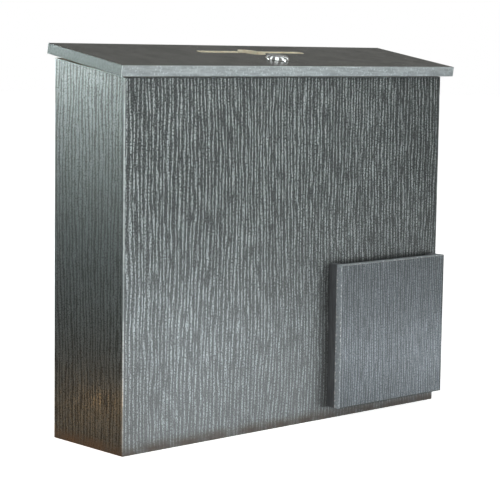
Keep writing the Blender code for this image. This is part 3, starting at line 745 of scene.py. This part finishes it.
def grown(outline, step):
    """A square-cornered outline, counter-clockwise, moved outwards by step."""
    moved = []
    for before, here, after in zip(outline[-1:] + outline[:-1], outline, outline[1:] + outline[:1]):
        arrive = (Vector(here) - Vector(before)).normalized()
        leave = (Vector(after) - Vector(here)).normalized()
        moved.append(tuple(Vector(here) + step * Vector((arrive.y + leave.y, -arrive.x - leave.x))))
    return moved


def make_plug():
    """The plug keeps its CAD shape; a near-black cup inside its keyway is painted shade."""
    refine("lock_plug", CHROME, 0.00006, 1)
    keyway = [(-0.0036, -0.0006), (0.0036, -0.0006), (0.0036, 0.0003), (0.0014, 0.0003),
              (0.0014, 0.0009), (-0.0008, 0.0009), (-0.0008, 0.0003), (-0.0036, 0.0003)]
    shape = bmesh.new()
    inner, outer, floor, rim = -0.00011, -0.00003, -0.0052, 0.0034
    levels = [(outer, floor), (outer, rim), (inner, rim), (inner, floor + 0.0002)]
    rings = [ring(shape, [(x, y, height) for x, y in grown(keyway, step)])
             for step, height in levels]
    for first, second in zip(rings, rings[1:]):
        bridge(shape, first, second)
    cap(shape, [rings[0]])
    cap(shape, [rings[-1]])
    add_piece("keyway_shade_cup", shape, (KEYWAY_SHADE,), joints["lock_turn"]["child"], [],
              lock_frame)


def refine(node, material, width, segments=2):
    """Keep a CAD node's shape: weld it, ease its edges by width and give it its material."""
    item = frame["nodes"][node]
    item.data.materials.clear()
    item.data.materials.append(material)
    weld = item.modifiers.new("weld", "WELD")
    weld.merge_threshold = SAME
    if width:
        bevel = item.modifiers.new("ease", "BEVEL")
        bevel.width = width
        bevel.segments = segments
        bevel.limit_method = "ANGLE"
        bevel.angle_limit = EASED


def finish_hardware():
    """Hinges, bumpers, strike and cam keep their CAD shapes."""
    for hand in ("left", "right"):
        for leaf in ("body_leaf", "lid_leaf"):
            refine(f"hinge_{hand}_{leaf}", ZINC, 0.0001, 1)
        refine(f"hinge_{hand}_pin", ZINC, 0.0001)
        for number in (1, 2):
            for part in ("body", "lid"):
                refine(f"hinge_{hand}_{part}_screw_{number}", ZINC, 0)
        refine(f"bumper_{hand}", FELT, 0.0003)
    for number in (1, 2):
        refine(f"strike_screw_{number}", ZINC, 0)
    refine("strike_bracket", ZINC, 0.0002)
    refine("lock_cam", ZINC, 0.0002)
    refine("cam_washer", ZINC, 0.0001)
    refine("cam_screw", ZINC, 0.0002)


# ---------------------------------------------------------------- stage
def look_from(location, yaw, pitch, roll):
    """Camera matrix from a heading, a downward pitch and a roll."""
    level = math.cos(pitch)
    forward = Vector((math.sin(yaw) * level, math.cos(yaw) * level, -math.sin(pitch)))
    right = Vector((math.cos(yaw), -math.sin(yaw), 0.0))
    up = right.cross(forward)
    turned_right = right * math.cos(roll) + up * math.sin(roll)
    turned_up = up * math.cos(roll) - right * math.sin(roll)
    matrix = Matrix((turned_right, turned_up, -forward)).transposed().to_4x4()
    matrix.translation = location
    return matrix


def make_camera():
    """A long lens from the front left, a little above the box."""
    place = Vector((-1.0675, -1.1440, 0.3354))
    yaw, pitch, roll = math.radians(42.794), math.radians(6.423), math.radians(0.851)
    data = bpy.data.cameras.new("camera")
    data.lens, data.sensor_width = 125.55, 36.0
    data.clip_start, data.clip_end = 0.05, 60.0
    camera = bpy.data.objects.new("camera", data)
    camera.matrix_world = look_from(place, yaw, pitch, roll)
    bpy.context.scene.collection.objects.link(camera)
    bpy.context.scene.camera = camera


def area_light(name, position, aim, size, power, colour, spread=180):
    """A rectangular light at a position, turned to its aim."""
    data = bpy.data.lights.new(name, "AREA")
    data.shape = "RECTANGLE"
    data.size, data.size_y = size
    data.energy = power
    data.color = colour
    data.spread = math.radians(spread)
    light = bpy.data.objects.new(name, data)
    light.location = position
    light.rotation_euler = (Vector(aim) - Vector(position)).to_track_quat("-Z", "Y").to_euler()
    light.visible_camera = False
    bpy.context.scene.collection.objects.link(light)


def make_floor():
    """Pale matt floor; for the eye it glows a little, so that it meets the white surroundings."""
    nodes = Nodes("floor_paint")
    tone = nodes.ramp(nodes.noise(nodes.place, 3.0, 3.0), 0.3, 0.7)
    nodes.finish(nodes.mix(tone, (0.80, 0.80, 0.80), (0.83, 0.83, 0.83)), 0.8, specular=0.1)
    seen = nodes.node("ShaderNodeLightPath").outputs["Is Camera Ray"]
    nodes.shader.inputs["Emission Color"].default_value = (1.0, 1.0, 1.0, 1.0)
    nodes.put(nodes.shader.inputs["Emission Strength"], nodes.math("MULTIPLY", seen, 0.93))
    shape = bmesh.new()
    bmesh.ops.create_grid(shape, x_segments=4, y_segments=4, size=9.0,
                          matrix=Matrix.Translation((0, 0, -0.0004)))
    mesh = bpy.data.meshes.new("stage_floor")
    shape.to_mesh(mesh)
    shape.free()
    mesh.materials.append(nodes.material)
    floor = bpy.data.objects.new("stage_floor", mesh)
    bpy.context.scene.collection.objects.link(floor)


def make_surroundings(horizon, zenith):
    """White for the eye; for light and reflections, a grey gradient that darkens upwards."""
    world = bpy.data.worlds.new("studio")
    bpy.context.scene.world = world
    world.use_nodes = True
    tree = world.node_tree
    tree.nodes.clear()
    kinds = ("TexCoord", "SeparateXYZ", "MapRange", "Mix", "LightPath", "Mix", "Background",
             "OutputWorld")
    place, split, height, tint, path, seen, background, output = (
        tree.nodes.new("ShaderNode" + kind) for kind in kinds)
    tint.data_type = seen.data_type = "RGBA"
    height.inputs["From Min"].default_value = 0.0
    height.inputs["From Max"].default_value = 0.9
    tint.inputs[6].default_value = (*horizon, 1)
    tint.inputs[7].default_value = (*zenith, 1)
    seen.inputs[7].default_value = (1.0, 1.0, 1.0, 1)
    for start, end in (
        (place.outputs["Generated"], split.inputs[0]),
        (split.outputs["Z"], height.inputs[0]),
        (height.outputs[0], tint.inputs[0]),
        (path.outputs["Is Camera Ray"], seen.inputs[0]),
        (tint.outputs[2], seen.inputs[6]),
        (seen.outputs[2], background.inputs["Color"]),
        (background.outputs[0], output.inputs["Surface"]),
    ):
        tree.links.new(start, end)


HORIZON, ZENITH = (0.235, 0.235, 0.222), (0.11, 0.11, 0.11)

# Name, position, aim, size, power, colour and spread in degrees.
LIGHTS = (
    ("softbox_top", (0.1, -0.3, 2.2), (0, 0, 0), (1.6, 1.6), 1.9, (1.0, 1.0, 1.0), 180),
    ("softbox_front", (0.95, -1.45, 0.50), (-0.21, -0.05, 0.15), (0.3, 0.3), 0.25,
     (0.92, 1.0, 0.99), 30),
    ("card_low_left", (0.10, -0.42, 0.02), (-0.19, -0.05, 0.0), (0.2, 0.03), 0.075,
     (0.84, 0.93, 1.0), 60),
    ("card_low_front", (0.45, -0.62, 0.02), (0.03, -0.05, 0.02), (0.5, 0.04), 0.108,
     (0.88, 0.95, 1.0), 90),
    ("card_pocket", (0.34, -0.27, 0.010), (0.15, -0.06, 0.010), (0.2, 0.016), 0.030,
     (0.86, 0.94, 1.0), 60),
    ("softbox_left", (-1.1, 1.2, 0.45), (-0.19, 0.0, 0.33), (0.5, 0.5), 0.60,
     (0.90, 1.0, 0.98), 180),
    ("card_left", (-0.75, 0.85, 0.50), (-0.19, 0.0, 0.38), (0.3, 0.2), 0.92, (0.88, 1.0, 0.98), 30),
    ("card_warm", (-0.262, 0.008, 0.024), (-0.19, 0.0, 0.024), (0.16, 0.012), 0.0225,
     (1.0, 0.49, 0.09), 140),
)

# Tall soft strips in a circle round the box: heading in degrees from the front, power and width.
STRIPS = ((-168, 1.5, 0.5), (-105, 5.0, 0.7), (-43, 8.8, 1.1), (19, 6.0, 0.95), (82, 4.4, 0.6))
STRIP_DISTANCE, STRIP_LEVEL, STRIP_LENGTH = 1.6, 1.55, 2.0
STRIP_COLOUR = (0.95, 1.0, 0.99)


def make_stage():
    make_floor()
    make_surroundings(HORIZON, ZENITH)
    for light in LIGHTS:
        area_light(*light)
    for number, (heading, power, width) in enumerate(STRIPS, start=1):
        turn = math.radians(heading)
        place = (STRIP_DISTANCE * math.sin(turn), -STRIP_DISTANCE * math.cos(turn), STRIP_LEVEL)
        area_light(f"strip_{number}", place, (0, 0, 0.5), (width, STRIP_LENGTH), power,
                   STRIP_COLOUR)
    bpy.context.scene.view_settings.view_transform = "Standard"


make_camera()
make_stage()
make_walls()
make_pocket()
make_lid()
make_lock_body()
make_lock_nut()
make_plug()
finish_hardware()
